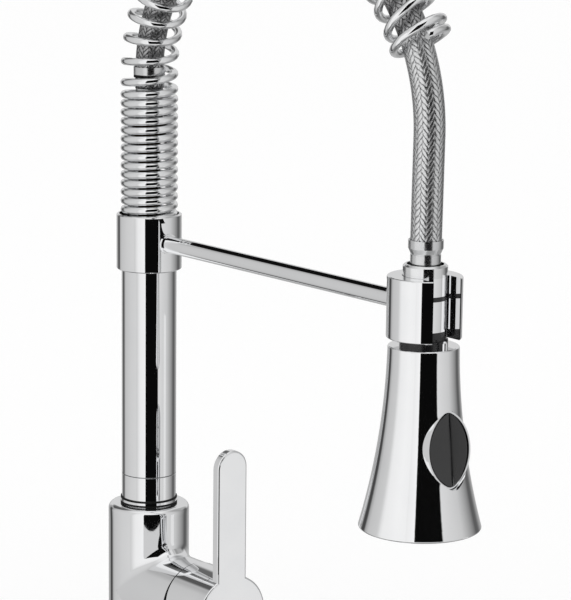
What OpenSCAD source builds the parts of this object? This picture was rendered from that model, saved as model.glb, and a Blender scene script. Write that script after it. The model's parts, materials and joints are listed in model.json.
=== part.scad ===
// Kitchen mixer with a tall swivel riser, a coil spring round the hose, a docking arm
// and a pull-down spray head. Millimetres, +Z up. The origin lies on the column axis in
// the plane of the deck; arm, lever, clip slot and spray button face -Y, the front.

/* [Deck and base] */
// Thickness of the deck that is clamped between base and horseshoe
deck_t = 35; // [15:1:45]
// Diameter of the base ring that stands on the deck
base_d = 50; // [48:0.5:60]
// Height of the base ring
base_h = 5; // [4:0.5:10]
// Diameter of the mounting stud
stud_d = 8; // [6:0.5:8]
// Radius of the threaded wall of each water inlet
inlet_r = 5; // [4:0.25:5.5]

/* [Body] */
// Diameter of the standing body and of the branch that carries the handle
body_d = 44; // [42:0.5:48]
// Height of the body's top above the deck
body_h = 130; // [125:1:170]
// Rounding of the body's top edge
body_edge_r = 3; // [1:0.25:4]
// Depth of the handle axis below the body's top
handle_drop = 47; // [47:0.5:55]
// Distance of the branch's rim in front of the column axis
branch_l = 42.8; // [40:0.2:50]
// Radius of the fillet between body and branch
branch_fillet_r = 6.5; // [2:0.5:8]
// Diameter of the ceramic cartridge
cartridge_d = 34.8; // [33:0.1:35]

/* [Handle] */
// Width by which the handle's hub stands out round the branch
hub_step = 0.5; // [0:0.1:1.5]
// Length of the handle from the branch rim to the lever's front
handle_l = 31.6; // [30:0.2:36]
// Distance of the lever's tip from the handle axis
lever_l = 91; // [60:1:120]
// Width of the lever blade
lever_w = 19.2; // [12:0.2:26]
// Thickness of the lever blade
lever_t = 4.4; // [3:0.2:6]
// Rounding of the lever's edges
lever_edge_r = 1.1; // [0.4:0.1:1.4]
// Gap between the branch rim and the top of the handle
rim_gap = 0.7; // [0.5:0.1:1.5]
// Radius of the arc that relieves the handle's rear for its tilt
relief_r = 88; // [80:1:90]

/* [Riser] */
// Diameter of the riser tube
riser_d = 29.6; // [29:0.1:31]
// Wall of the riser tube
riser_wall = 1.2; // [1:0.1:1.5]
// Height of the sleeve and swivel ring on the body
sleeve_h = 17; // [15:0.5:24]
// Visible length of the riser tube, up to the collar
riser_l = 113.5; // [80:0.5:180]
// Diameter of the spigot that turns in the body
spigot_d = 24; // [23:0.5:25]

/* [Collar, arm and clip] */
// Diameter of the collar that carries arm and spring
collar_d = 35; // [34.5:0.5:40]
// Height of the collar and of the clip
collar_h = 30; // [28:0.5:36]
// Distance of the spray axis from the column axis
reach = 220; // [180:1:260]
// Diameter of the arm
arm_d = 9.1; // [7:0.1:11]
// Diameter of the docking clip
clip_d = 36.2; // [34:0.2:40]
// Width of the clip's slot
clip_slot = 17.75; // [15.5:0.25:18.5]

/* [Hose and spring] */
// Diameter of the braided hose
hose_d = 15; // [12:0.2:15.2]
// Diameter of the ferrules that end the hose
ferrule_d = 14.6; // [13:0.2:15]
// Outside diameter of the coil spring
spring_d = 30.8; // [29.5:0.1:31]
// Diameter of the spring wire
wire_d = 4.1; // [3:0.1:4.1]
// Pitch of the close turns on the column
close_pitch = 4.76; // [4.7:0.02:5.5]
// Number of close turns on the column
close_turns = 14.13; // [10.13:1:16.13]
// Pitch of the open turns along the arch
open_pitch = 12; // [9:0.5:16]
// Sag of the hose from the middle of the spring at its lower end
hose_sag = 2.2; // [0:0.1:2.8]
// Height of the hose arch above the collar
arch_rise = 167.4; // [140:1:200]

/* [Spray head] */
// Diameter of the spray's neck
neck_d = 21.5; // [20.5:0.1:21.7]
// Height of the neck's cap above the clip
neck_cap_h = 5.6; // [4:0.2:8]
// Diameter of the bell at its top
bell_top_d = 34.3; // [31:0.1:38]
// Diameter of the bell at its mouth, before the lip is rounded
bell_mouth_d = 60; // [58:0.5:68]
// Height of the bell
bell_h = 89.7; // [84:0.3:100]
// Gap between the docking clip and the bell
dock_gap = 3.7; // [2:0.1:6]
// Wall of the bell
bell_wall = 2; // [1.6:0.1:2.2]

/* [Spray button] */
// Width of the pointed-oval button
button_w = 25; // [22:0.25:28]
// Height of the button
button_h = 35; // [32:0.25:38]
// Rounding of the button's two tips
button_tip_r = 5; // [2:0.5:8]
// Distance of the button's edge from the spray axis
button_reach = 20.1; // [19.5:0.1:23]
// Height of the ridge down the middle of the button
button_crown = 1.1; // [0.3:0.1:1.5]
// Height of the button's centre above the mouth of the bell
button_rise = 42.1; // [40:0.2:46]
// Lean of the button's face along the flare, in degrees
button_slant = 6; // [4:0.5:9]

/* [Outlet] */
// Number of spray nozzles in the outer ring
outer_nozzles = 20; // [12:1:24]
// Number of spray nozzles in the inner ring
inner_nozzles = 12; // [8:1:14]
// Diameter of the aerator in the middle of the outlet
aerator_d = 20; // [18:0.5:21]

/* [Hidden] */
$fn = 72;

// Clearances and overruns
fit_gap = 0.05;
slide_gap = 0.15;
soft_gap = 0.3;
cut_over = 1;

// Body, branch and cartridge
body_r = body_d / 2;
branch_r = body_r;
hub_r = branch_r + hub_step;
handle_z = body_h - handle_drop;
body_wall = 4.5;
base_bore_r = 15.2;
lip_wall = 2.15;
lip_r = base_bore_r + lip_wall;
cavity_r = lip_r + slide_gap;
cavity_drop = 28;
cavity_top = handle_z - cavity_drop;
inlet_x = 8.5;
inlet_y = 4;
inlet_z = 10;
inlet_thread_l = 12;
inlet_boss_wall = 2.4;
channel_r = 3;
stud_y = -9.5;
stud_boss_wall = 2.4;
stud_hole_l = 16;
cartridge_r = cartridge_d / 2;
cartridge_l = 22;
counterbore_depth = 12.8;
shoulder_d = branch_l - counterbore_depth;
seat_d = shoulder_d - cartridge_l;
hub_wall = 1.9;
dome_play = 0.7;
dome_r = hub_r - hub_wall - dome_play;
counterbore_r = dome_r + fit_gap;
port_x = 7;
port_drop = 6;
port_rise = 8;
port_r = 3.2;
rim_chamfer = 0.4;
fillet_sink = 0.05;
fillet_root_share = 0.978;
fillet_limit = 78;
fillet_steps = 36;
fillet_sides = 8;

// Base ring, gasket and fastening under the deck
base_edge_r = 1.5;
lip_h = 3;
lip_rim_w = 2;
gasket_in = 18;
gasket_out = 23;
gasket_t = 1.5;
plate_r = 25;
washer_t = 3;
plate_t = 2.5;
hose_slot_w = 30;
hose_slot_y = -3.5;
nut_share = 1.625;
nut_af = stud_d * nut_share;
nut_h = 10;
stud_tail = 6;

// Cartridge inside
seal_t = 1.2;
seal_r = 14;
housing_neck_r = 14.6;
housing_neck_l = 8;
carrier_r = 12;
carrier_floor = seat_d + seal_r / 2 + seal_t;
carrier_l = 20;
pivot_d = shoulder_d;
stem_w = 7;
stem_tail = 12;
stem_socket_l = 11;
carrier_slot_h = 19;
pin_r = 1.5;
pin_l = 22;
nut_ring_l = 6;
dome_centre_drop = 8.8;
dome_d = branch_l - dome_centre_drop;
dome_wall = 1.2;
dome_mouth_r = 13.5;
dome_skirt_l = 5.5;

// Handle inside
rim_top_d = branch_l + rim_gap;
lever_front_d = branch_l + handle_l;
lever_back_d = lever_front_d - lever_t;
hub_depth = 11;
hub_floor_d = rim_top_d + hub_depth;
handle_screw_r = 2.5;
handle_screw_l = 8;
screw_in_hub = 8.5;
handle_screw_d = hub_floor_d + screw_in_hub;
key_af = 2.5;
key_depth = 2.5;
plug_r = 3.2;
plug_l = 4.5;
plug_sink = 0.4;

// Swivel joint of the riser
riser_r = riser_d / 2;
spigot_r = spigot_d / 2;
spigot_depth = 26;
spigot_floor = body_h - spigot_depth;
slip_t = 0.8;
slip_sink = 1.2;
swivel_lip_out = 0.3;
swivel_rim_out = 0.65;
swivel_groove_in = 0.5;
swivel_lip_r = riser_r + swivel_lip_out;
swivel_rim_r = riser_r + swivel_rim_out;
swivel_groove_r = riser_r - swivel_groove_in;
socket_top_r = swivel_lip_r + soft_gap;
swivel_lip_h = 1.4;
swivel_groove_h = 0.6;
swivel_rim_h = 1.3;
seal_h = 0.5;
o_ring_r = 1.25;
o_ring_low = 5.5;
o_ring_high = 18;
o_ring_low_z = spigot_floor + o_ring_low;
o_ring_high_z = spigot_floor + o_ring_high;
o_groove_w = 3.2;
o_groove_r = 9.4;
lock_rise = 12;
lock_z = spigot_floor + lock_rise;
lock_groove_w = 3.6;
lock_groove_r = 10.2;
lock_screw_r = 2.5;
lock_tip_r = 1.5;
lock_tip_l = 2;
lock_tip_play = 0.4;
lock_sink = 1.4;
water_r = 5;
spigot_neck_r = riser_r - riser_wall - fit_gap;
spigot_neck_l = 8;
tube_chamfer = 0.3;
pipe_r = 6;
pipe_seat = 9;

// Levels of the column
slip_z = body_h - slip_sink;
swivel_z = slip_z + slip_t;
sleeve_z = swivel_z + swivel_lip_h + swivel_groove_h + swivel_rim_h + seal_h;
tube_z = body_h + sleeve_h;
collar_z = tube_z + riser_l;
collar_top = collar_z + collar_h;
arm_drop = 14.55;
arm_z = collar_top - arm_drop;
arm_r = arm_d / 2;
spring_recess = 4.2;
recess_gap = 0.7;
recess_r = spring_d / 2 + recess_gap;
collar_r = collar_d / 2;
collar_edge = 0.5;
arm_to_tube = 0.9;
tube_in_collar = collar_h - arm_drop - arm_r - arm_to_tube;
collar_screw_r = 2;
collar_screw_rise = 6;
collar_screw_z = collar_z + collar_screw_rise;
arm_socket_l = 3;
arm_ring_t = 0.85;
arm_ring_back = 0.7;
arm_ring_front = 0.7;

// Docking clip
clip_r = clip_d / 2;
clip_play = 0.26;
clip_bore_r = neck_d / 2 + clip_play;
clip_bottom = collar_top - collar_h;
clip_edge_r = 0.8;

// Hose ends
hose_r = hose_d / 2;
hose_sides = 12;
ferrule_r = ferrule_d / 2;
ferrule_bore_r = 5;
ferrule_l = 24;
flare_wall = 0.6;
flare_rim_h = 4;
flare_groove_h = 0.6;
flare_groove_t = 0.5;
flare_floor = 2.4;
hose_start_rise = 74.8;
hose_start = collar_top + hose_start_rise;
hose_nut_af = 17;
hose_nut_h = 12;
pipe_top = hose_start - ferrule_l;

// Hose route: up the column, over an arch of two quarter ellipses, down to the spray
hose_bow = 0.8;
arch_half = (reach + hose_bow) / 2;
arch_top = collar_top + arch_rise;
drop_rise = 67.4;
drop_top = collar_top + drop_rise;
spray_hose_rise = 13.2;
spray_hose_z = collar_top + spray_hose_rise;
arch_steps = 30;
hose_rings = 26;

// Spring
wire_r = wire_d / 2;
coil_r = spring_d / 2 - wire_r;
spring_start_deg = -171;
spring_floor = collar_top - spring_recess;
spring_start = spring_floor + wire_r + slide_gap;
first_open_pitch = 6.9;
last_turn_share = 0.46;
end_turns = 1.17;
end_pitch = 5.2;
spring_end_rise = 111;
curl_rings = 8;
wire_sides = 6;
min_wire_gap = 0.4;

// Spray head
neck_r = neck_d / 2;
neck_play = 0.4;
neck_bore_r = hose_d / 2 + neck_play;
neck_low = 26;
neck_mouth_w = 1;
neck_mouth_r = neck_bore_r + neck_mouth_w;
neck_chamfer = 0.9;
band_top = 8.9;
band_h = 2.3;
band_t = 0.8;
bell_top = clip_bottom - dock_gap;
bell_mouth = bell_top - bell_h;
neck_collar_r = 11.6;
neck_step = 0.6;
bell_top_r = bell_top_d / 2;
bell_mouth_r = bell_mouth_d / 2;
bell_lead = 5;
bell_edge_r = 0.9;
bell_lip_r = 1;
core_r = neck_bore_r - fit_gap - fit_gap;
core_body_r = 8.5;
core_flange_t = 3;
core_hole_r = 9.4;
core_spigot_r = 9.2;
face_t = 2.4;
mat_t = 1.6;
face_sink = 1.6;
ledge_w = 2.4;
ledge_t = 2;
nub_r = 1.3;
nub_h = 4.2;
nub_sink = 0.8;
nub_y = 14.6;
washer_h = 1.5;

// Spray button
bezel_w = 0.9;
bezel_reach_drop = 0.5;
bezel_back = 9;
button_gap = 0.3;
button_drop = bell_h - button_rise;
lens_sides = 24;
lens_tip_sides = 12;
button_t = 8;
plunger_r = 2.5;
plunger_l = 9;

// Outlet
nozzle_r = 1.1;
nozzle_tip = 1;
nozzle_bore_r = 0.45;
outer_ring_share = 0.84;
inner_ring_share = 0.62;
mesh_hole_r = 0.8;
mesh_pitch = 2.9;
mesh_t = 1.2;

// Geometry helpers

function arc(cx, cy, r, from, to, n = 6) =
    [for (i = [0:n]) let (a = from + (to - from) * i / n) [cx + r * cos(a), cy + r * sin(a)]];

function unit(v) = v / norm(v);

// Places children in front of the column: local +Z runs forward along the handle axis
module forward(d = 0) {
    translate([0, 0, handle_z]) rotate([90, 0, 0]) translate([0, 0, d]) children();
}

// Places children on the axis of the spray head
module at_spray() {
    translate([0, -reach, 0]) children();
}

module ring(outer, inner, low, high) {
    translate([0, 0, low]) difference() {
        cylinder(r = outer, h = high - low);
        translate([0, 0, -cut_over]) cylinder(r = inner, h = high - low + 2 * cut_over);
    }
}

module rod(r, low, high) {
    translate([0, 0, low]) cylinder(r = r, h = high - low);
}

module hex(af, low, high) {
    translate([0, 0, low]) cylinder(d = af / cos(30), h = high - low, $fn = 6);
}

// Skin over a list of rings, each with the same number of points
module skin(rings) {
    n = len(rings[0]);
    last = len(rings) - 1;
    points = [for (loop = rings) for (p = loop) p];
    sides = [
        for (k = [0:last - 1]) for (i = [0:n - 1])
            let (j = (i + 1) % n, a = k * n + i, b = k * n + j, c = a + n, d = b + n)
                for (face = [[a, b, d], [a, d, c]]) face
    ];
    low = [for (i = [1:n - 2]) [0, i + 1, i]];
    high = [for (i = [1:n - 2]) [last * n, last * n + i, last * n + i + 1]];
    polyhedron(points = points, faces = concat(low, sides, high));
}

// Disc with a rounded edge at its top, as a turned profile
module rounded_disc(r, low, high, edge) {
    rotate_extrude() polygon(concat(
        [[0, low], [r, low]],
        arc(r - edge, high - edge, edge, 0, 90),
        [[0, high]]
    ));
}

// Route of the hose: arc length, y, z and direction, 0 up and 180 down

left_rise = arch_top - hose_start;
right_rise = arch_top - drop_top;

route_left = [
    for (i = [0:arch_steps]) let (a = 90 * i / arch_steps)
        [-arch_half * (1 - cos(a)), hose_start + left_rise * sin(a),
            atan2(arch_half * sin(a), left_rise * cos(a))]
];
route_right = [
    for (i = [1:arch_steps]) let (a = 90 * i / arch_steps)
        [-arch_half * (1 + sin(a)), drop_top + right_rise * cos(a),
            atan2(arch_half * cos(a), -right_rise * sin(a))]
];
route = concat([[0, spring_floor, 0]], route_left, route_right);
steps = [
    for (i = [1:len(route) - 1])
        norm([route[i][0] - route[i - 1][0], route[i][1] - route[i - 1][1]])
];
lengths = [for (i = 0, s = 0; i < len(route); s = s + (i < len(steps) ? steps[i] : 0), i = i + 1) s];
route_y = [for (i = [0:len(route) - 1]) [lengths[i], route[i][0]]];
route_z = [for (i = [0:len(route) - 1]) [lengths[i], route[i][1]]];
route_a = [for (i = [0:len(route) - 1]) [lengths[i], route[i][2]]];
arch_start_s = hose_start - spring_floor;
arch_end_s = lengths[len(lengths) - 1];

function route_point(s) = [0, lookup(s, route_y), lookup(s, route_z)];
function route_normal(s) = let (a = lookup(s, route_a)) [0, cos(a), sin(a)];
function route_ring(s, r, n) = [
    for (i = [0:n - 1]) let (a = 360 * (i + 0.5) / n)
        route_point(s) + r * (cos(a) * [1, 0, 0] + sin(a) * route_normal(s))
];

// Coil: arc length along the route as a function of turns, from the recess of the collar

close_end_s = spring_start - spring_floor + close_turns * close_pitch;
right_hits = [
    for (i = [0:len(route) - 1])
        if (route[i][2] > 90 && route[i][1] > collar_top + spring_end_rise) lengths[i]
];
open_end_s = right_hits[len(right_hits) - 1];
open_l = open_end_s - close_end_s - first_open_pitch;
open_turns = floor(open_l / open_pitch) + last_turn_share;
all_turns = close_turns + 1 + open_turns + end_turns;
turn_s = [
    [0, spring_start - spring_floor],
    [close_turns, close_end_s],
    [close_turns + 1, close_end_s + first_open_pitch],
    [close_turns + 1 + open_turns, open_end_s],
    [all_turns, open_end_s + end_turns * end_pitch]
];
coil_sag = [[0, 0], [close_turns + open_turns / 2, 0], [all_turns, hose_sag]];
function coil_point(t) =
    let (s = lookup(t, turn_s), a = spring_start_deg + 360 * t)
        route_point(s) + coil_r * (cos(a) * [1, 0, 0] + sin(a) * route_normal(s))
            + lookup(t, coil_sag) * route_normal(s);
function coil_radial(t) =
    let (s = lookup(t, turn_s), a = spring_start_deg + 360 * t)
        cos(a) * [1, 0, 0] + sin(a) * route_normal(s);

coil_count = floor(all_turns * curl_rings);
coil_turns = [for (i = [0:coil_count]) all_turns * i / coil_count];
coil_line = [for (t = coil_turns) coil_point(t)];
coil_out = [for (t = coil_turns) coil_radial(t)];
tangent_step = 0.005;
first_dir = unit(coil_line[0] - coil_point(tangent_step));
last_dir = unit(coil_line[coil_count] - coil_point(all_turns - tangent_step));
flat_dir = unit([first_dir[0], first_dir[1], 0]);
wire_line = concat([coil_line[0] + wire_d * flat_dir], coil_line, [coil_line[coil_count] + wire_d * last_dir]);
wire_out = concat([coil_out[0]], coil_out, [coil_out[coil_count]]);
wire_last = len(wire_line) - 1;

function wire_tangent(i) =
    unit(wire_line[min(i + 1, wire_last)] - wire_line[max(i - 1, 0)]);
function wire_ring(i) =
    let (t = wire_tangent(i), u = unit(wire_out[i] - (wire_out[i] * t) * t), v = cross(t, u))
        [for (k = [0:wire_sides - 1]) let (a = 360 * k / wire_sides)
            wire_line[i] + wire_r * (cos(a) * u + sin(a) * v)];

function near(i) = min([
    for (j = [i + curl_rings - 2:min(i + curl_rings + 2, wire_last - 1)])
        let (p = wire_line[j], q = wire_line[j + 1] - p,
            share = max(0, min(1, ((wire_line[i] - p) * q) / (q * q))))
            norm(wire_line[i] - p - share * q)
]);
least_gap = min([for (i = [0:wire_last - curl_rings + 1]) near(i)]) - wire_d;
echo(least_gap_between_curls = least_gap, curls = all_turns);
assert(least_gap > min_wire_gap, "the curls come too close to each other");

// Fixed body

module branch_fillet() {
    ball = branch_fillet_r;
    spine = body_r + ball;
    swing = branch_r + ball;
    limit = min(fillet_limit, asin(min(1, fillet_root_share * spine / swing)));
    function section(t) =
        let (
            x = swing * sin(t),
            centre = [x, -sqrt(spine * spine - x * x), swing * cos(t)],
            on_body = unit([-centre[0], -centre[1], 0]),
            on_branch = unit([-centre[0], 0, -centre[2]]),
            spread = acos(on_body * on_branch),
            reach_in = ball + fillet_sink
        )
            concat(
                [centre + on_body * (ball + body_wall / 2)],
                [for (i = [0:fillet_sides]) let (f = i / fillet_sides, s = f == 0 || f == 1 ? reach_in : ball)
                    centre + s * (sin((1 - f) * spread) * on_body + sin(f * spread) * on_branch)
                        / sin(spread)],
                [centre + on_branch * (ball + body_wall / 2)]
            );
    translate([0, 0, handle_z]) for (side = [0, 1]) mirror([0, 0, side])
        skin([for (i = [0:fillet_steps]) section(-limit + 2 * limit * i / fillet_steps)]);
}

module inlet_bosses() {
    for (x = [-inlet_x, inlet_x]) translate([x, inlet_y, inlet_z])
        cylinder(r = inlet_r + inlet_boss_wall, h = cavity_top - inlet_z + cut_over);
    translate([0, stud_y, inlet_z])
        cylinder(r = stud_d / 2 + stud_boss_wall, h = cavity_top - inlet_z + cut_over);
}

module faucet_body() {
    color("silver") difference() {
        union() {
            difference() {
                union() {
                    rounded_disc(body_r, base_h, body_h, body_edge_r);
                    forward() rounded_disc(branch_r, 0, branch_l, rim_chamfer);
                    branch_fillet();
                }
                rod(cavity_r, base_h - cut_over, cavity_top);
            }
            inlet_bosses();
        }
        for (x = [-inlet_x, inlet_x]) {
            translate([x, inlet_y, 0]) rod(inlet_r, inlet_z - cut_over, inlet_z + inlet_thread_l);
            translate([x, inlet_y, 0])
                rod(channel_r, inlet_z + inlet_thread_l - cut_over, handle_z - port_drop);
        }
        for (side = [-1, 1]) translate([side * port_x, 0, -port_drop])
            forward(-inlet_y) cylinder(r = channel_r, h = inlet_y + seat_d + cut_over);
        translate([0, 0, port_rise]) forward(-channel_r / 2)
            cylinder(r = channel_r, h = channel_r / 2 + seat_d + cut_over);
        rod(channel_r, handle_z + port_rise, spigot_floor + cut_over);
        translate([0, stud_y, inlet_z - cut_over]) cylinder(r = stud_d / 2 + fit_gap, h = stud_hole_l + cut_over);
        forward(seat_d) cylinder(r = cartridge_r + fit_gap, h = branch_l);
        forward(shoulder_d) cylinder(r = counterbore_r, h = branch_l);
        rod(spigot_r + fit_gap, spigot_floor, body_h + cut_over);
        rod(socket_top_r, slip_z, body_h + cut_over);
        translate([0, 0, lock_z]) rotate([-90, 0, 0]) cylinder(r = lock_screw_r + fit_gap, h = body_d);
    }
}

module base_ring() {
    color("silver") difference() {
        union() {
            rounded_disc(base_d / 2, 0, base_h, base_edge_r);
            rod(lip_r, base_h - cut_over, base_h + lip_h);
        }
        rod(base_bore_r, -cut_over, base_h + cut_over);
        rod(lip_r - lip_rim_w, base_h, base_h + lip_h + cut_over);
        ring(gasket_out, gasket_in, -cut_over, gasket_t);
    }
}

module base_gasket() {
    color("#222222") ring(gasket_out - fit_gap, gasket_in + fit_gap, 0, gasket_t - fit_gap);
}

// Horseshoe with a hole for the stud and an open slot for the supply hoses
module horseshoe(r, thick, hole_r) {
    linear_extrude(thick) difference() {
        circle(r = r);
        translate([0, stud_y]) circle(r = hole_r);
        translate([-hose_slot_w / 2, hose_slot_y]) square([hose_slot_w, 2 * r]);
    }
}

module mounting_stud() {
    low = -deck_t - washer_t - plate_t - nut_h - stud_tail;
    color("gray") translate([0, stud_y, 0]) rod(stud_d / 2, low, inlet_z + stud_hole_l - cut_over);
}

module deck_washer() {
    color("#222222") translate([0, 0, -deck_t - washer_t])
        horseshoe(plate_r, washer_t, stud_d / 2 + slide_gap);
}

module deck_plate() {
    color("gray") translate([0, 0, -deck_t - washer_t - plate_t])
        horseshoe(plate_r, plate_t, stud_d / 2 + slide_gap);
}

module mounting_nut() {
    top = -deck_t - washer_t - plate_t;
    color("goldenrod") translate([0, stud_y, 0]) difference() {
        hex(nut_af, top - nut_h, top);
        rod(stud_d / 2 + fit_gap, top - nut_h - cut_over, top + cut_over);
    }
}

module riser_screw() {
    outer = body_r - lock_sink;
    tip = lock_groove_r + lock_tip_play;
    inner = tip + lock_tip_l;
    color("dimgray") translate([0, 0, lock_z]) rotate([-90, 0, 0]) difference() {
        union() {
            rod(lock_screw_r, inner, outer);
            rod(lock_tip_r, tip, inner + cut_over);
        }
        hex(key_af, outer - key_depth, outer + cut_over);
    }
}

// Ceramic cartridge and its cover

module ports(r, length) {
    for (side = [-1, 1]) translate([side * port_x, -port_drop, 0]) cylinder(r = r, h = length);
    translate([0, port_rise, 0]) cylinder(r = r, h = length);
}

module cartridge_seal() {
    color("#222222") forward(seat_d) difference() {
        cylinder(r = seal_r, h = seal_t);
        translate([0, 0, -cut_over]) ports(port_r, seal_t + 2 * cut_over);
    }
}

module cartridge_housing() {
    base = seat_d + seal_t;
    color("gainsboro") forward() difference() {
        union() {
            rod(cartridge_r, base, shoulder_d);
            rod(housing_neck_r, base, shoulder_d + housing_neck_l);
        }
        rod(carrier_r + fit_gap, carrier_floor, shoulder_d + housing_neck_l + cut_over);
        translate([0, 0, base - cut_over]) ports(port_r, carrier_floor - base + 2 * cut_over);
    }
}

module cartridge_nut() {
    color("goldenrod") forward()
        ring(counterbore_r - fit_gap, housing_neck_r + fit_gap, shoulder_d, shoulder_d + nut_ring_l);
}

module dome_cover() {
    skirt = branch_l - dome_skirt_l;
    color("silver") forward() difference() {
        intersection() {
            union() {
                translate([0, 0, dome_d]) sphere(r = dome_r);
                rod(counterbore_r - fit_gap, skirt, branch_l - rim_chamfer);
            }
            rod(counterbore_r - fit_gap, skirt, dome_d + dome_r);
        }
        translate([0, 0, dome_d]) sphere(r = dome_r - dome_wall);
        rod(dome_mouth_r, dome_d, dome_d + dome_r + cut_over);
    }
}

module cartridge_carrier() {
    color("white") forward() difference() {
        rod(carrier_r, carrier_floor + fit_gap, carrier_floor + carrier_l);
        translate([-stem_w / 2 - slide_gap, -carrier_slot_h / 2, carrier_floor - cut_over])
            cube([stem_w + 2 * slide_gap, carrier_slot_h, carrier_l + 2 * cut_over]);
        translate([-carrier_r - cut_over, 0, pivot_d]) rotate([0, 90, 0])
            cylinder(r = pin_r + fit_gap, h = 2 * (carrier_r + cut_over));
    }
}

module carrier_pin() {
    color("gray") forward() translate([-pin_l / 2, 0, pivot_d]) rotate([0, 90, 0])
        cylinder(r = pin_r, h = pin_l);
}

module cartridge_stem() {
    color("gray") forward() difference() {
        translate([-stem_w / 2, -stem_w / 2, pivot_d - stem_tail])
            cube([stem_w, stem_w, hub_floor_d + stem_socket_l - pivot_d + stem_tail]);
        translate([-stem_w, 0, pivot_d]) rotate([0, 90, 0])
            cylinder(r = pin_r + fit_gap, h = 2 * stem_w);
    }
}

// Handle: hub, front disc and lever blade in one casting

module blade_profile(width) {
    side = width / 2 - lever_edge_r;
    polygon(concat(
        [[-width / 2, lever_back_d], [width / 2, lever_back_d]],
        arc(side, lever_front_d - lever_edge_r, lever_edge_r, 0, 90),
        arc(-side, lever_front_d - lever_edge_r, lever_edge_r, 90, 180)
    ));
}

module lever_blade() {
    tip = lever_l - lever_w / 2;
    forward() rotate([-90, 0, 0]) mirror([0, 1, 0]) linear_extrude(tip) blade_profile(lever_w);
    forward() translate([0, tip, 0]) rounded_disc(lever_w / 2, lever_back_d, lever_front_d, lever_edge_r);
}

module handle() {
    color("silver") difference() {
        union() {
            intersection() {
                forward() rounded_disc(hub_r, rim_top_d, lever_front_d, lever_edge_r);
                forward() translate([-body_d, hub_r, rim_top_d + relief_r]) rotate([0, 90, 0])
                    cylinder(r = relief_r, h = 2 * body_d, $fn = 4 * $fn);
            }
            lever_blade();
        }
        forward() rod(hub_r - hub_wall, rim_top_d - cut_over, hub_floor_d);
        forward() translate([-stem_w / 2 - fit_gap, -stem_w / 2 - fit_gap, hub_floor_d - cut_over])
            cube([stem_w + 2 * fit_gap, stem_w + 2 * fit_gap, stem_socket_l + cut_over + fit_gap]);
        forward(handle_screw_d) rotate([90, 0, 0]) cylinder(r = handle_screw_r + fit_gap, h = body_d);
        forward(handle_screw_d) rotate([90, 0, 0]) rod(plug_r + fit_gap, hub_r - plug_l, body_d);
    }
}

module handle_screw() {
    outer = stem_w / 2 + handle_screw_l + fit_gap;
    color("dimgray") forward(handle_screw_d) rotate([90, 0, 0]) difference() {
        rod(handle_screw_r, stem_w / 2 + fit_gap, outer);
        hex(key_af, outer - key_depth, outer + cut_over);
    }
}

module handle_plug() {
    color("gray") forward(handle_screw_d) rotate([90, 0, 0])
        rod(plug_r, hub_r - plug_l, hub_r - plug_sink);
}

// Swivelling riser

module o_groove(z) {
    ring(spigot_r + cut_over, o_groove_r, z - o_groove_w / 2, z + o_groove_w / 2);
}

module riser_spigot() {
    neck_top = tube_z + spigot_neck_l;
    color("goldenrod") difference() {
        union() {
            rod(spigot_r, spigot_floor + soft_gap, sleeve_z + cut_over);
            rod(spigot_neck_r, sleeve_z, neck_top);
        }
        o_groove(o_ring_low_z);
        o_groove(o_ring_high_z);
        ring(spigot_r + cut_over, lock_groove_r, lock_z - lock_groove_w / 2, lock_z + lock_groove_w / 2);
        rod(water_r, spigot_floor, neck_top + cut_over);
        rod(pipe_r + fit_gap, neck_top - pipe_seat, neck_top + cut_over);
    }
}

module o_ring(z) {
    color("#222222") translate([0, 0, z]) rotate_extrude()
        translate([spigot_r - o_ring_r, 0]) circle(r = o_ring_r);
}

module lower_o_ring() {
    o_ring(o_ring_low_z);
}

module upper_o_ring() {
    o_ring(o_ring_high_z);
}

module slip_ring() {
    color("#222222") ring(swivel_lip_r, spigot_r + fit_gap, slip_z, swivel_z);
}

module swivel_ring() {
    groove_z = swivel_z + swivel_lip_h;
    rim_z = groove_z + swivel_groove_h;
    color("silver") union() {
        ring(swivel_lip_r, spigot_r + fit_gap, swivel_z, groove_z);
        ring(swivel_groove_r, spigot_r + fit_gap, swivel_z, rim_z);
        ring(swivel_rim_r, spigot_r + fit_gap, rim_z, rim_z + swivel_rim_h);
    }
}

module sleeve_seal() {
    color("#222222") ring(swivel_groove_r, spigot_r + fit_gap, sleeve_z - seal_h, sleeve_z);
}

// Tube wall with small chamfers at both outer ends
module chamfered_tube(outer, inner, low, high) {
    rotate_extrude() polygon([
        [inner, low], [outer - tube_chamfer, low], [outer, low + tube_chamfer],
        [outer, high - tube_chamfer], [outer - tube_chamfer, high], [inner, high]
    ]);
}

module riser_sleeve() {
    color("silver") chamfered_tube(riser_r, spigot_neck_r + fit_gap, sleeve_z, tube_z);
}

module riser_tube() {
    color("silver") chamfered_tube(riser_r, riser_r - riser_wall, tube_z, collar_z + tube_in_collar);
}

module water_pipe() {
    color("goldenrod") ring(pipe_r, water_r, tube_z + spigot_neck_l - pipe_seat, pipe_top);
}

// Collar, arm and docking clip

module collar() {
    color("silver") difference() {
        rotate_extrude() polygon([
            [0, collar_z], [collar_r - collar_edge, collar_z], [collar_r, collar_z + collar_edge],
            [collar_r, collar_top - collar_edge], [collar_r - collar_edge, collar_top], [0, collar_top]
        ]);
        rod(riser_r + fit_gap, collar_z - cut_over, collar_z + tube_in_collar + fit_gap);
        rod(pipe_r + fit_gap, collar_z, collar_top);
        rod(recess_r, spring_floor, collar_top + cut_over);
        translate([0, 0, arm_z]) rotate([90, 0, 0])
            rod(arm_r + fit_gap, collar_r - arm_socket_l, collar_r + cut_over);
        translate([0, 0, arm_z]) rotate([90, 0, 0])
            rod(arm_r + arm_ring_t + fit_gap, collar_r - arm_ring_back - fit_gap, collar_r + cut_over);
        translate([0, 0, collar_screw_z]) rotate([-90, 0, 0])
            rod(collar_screw_r + fit_gap, riser_r - cut_over, collar_r + cut_over);
    }
}

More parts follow.
